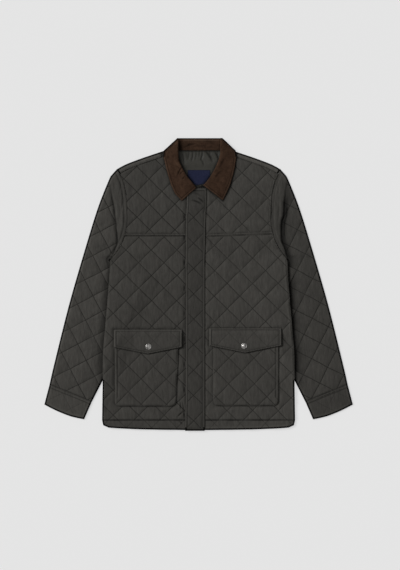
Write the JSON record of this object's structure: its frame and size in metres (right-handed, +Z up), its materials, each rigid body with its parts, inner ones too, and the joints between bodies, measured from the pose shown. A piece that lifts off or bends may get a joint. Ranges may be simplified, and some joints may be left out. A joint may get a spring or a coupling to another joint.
{
  "type": "quilted field jacket",
  "caption": "Diamond-quilted field jacket laid flat on its back, with a contrast fold-down collar, covered front, yokes, patch pockets with snapped flaps and cuff bands.",
  "frame": {"origin": "middle of the jacket's outline, on the surface that it lies on", "axes": "+X towards the wearer's left, +Y towards the collar, +Z up out of the front"},
  "size_m": [0.8634, 0.8188, 0.0209],
  "materials": {
    "shell": "matt quilted polyester, dark olive grey",
    "cuff_cloth": "matt polyester, firm",
    "flap_cloth": "matt polyester, firm",
    "placket_cloth": "matt quilted polyester, dark olive grey",
    "collar_cloth": "brushed dark brown",
    "lining": "smooth satin, olive grey",
    "label": "woven, bare, navy",
    "zip_tape": "woven tape",
    "snap_metal": "bright nickel"
  },
  "bodies": {
    "root": {"back": "shell", "yoke_left": "shell", "yoke_right": "shell", "front_left": "shell", "front_right": "shell", "sleeve_left": "shell", "sleeve_right": "shell", "cuff_left": "cuff_cloth", "cuff_right": "cuff_cloth", "collar": "collar_cloth", "collar_stand": "collar_cloth", "placket": "placket_cloth", "front_zip": "zip_tape", "back_lining": "lining", "neck_label": "label", "pocket_left": "shell", "pocket_right": "shell", "flap_left": "flap_cloth", "flap_right": "flap_cloth", "snap_left": "snap_metal", "snap_right": "snap_metal"}
  },
  "joints": []
}
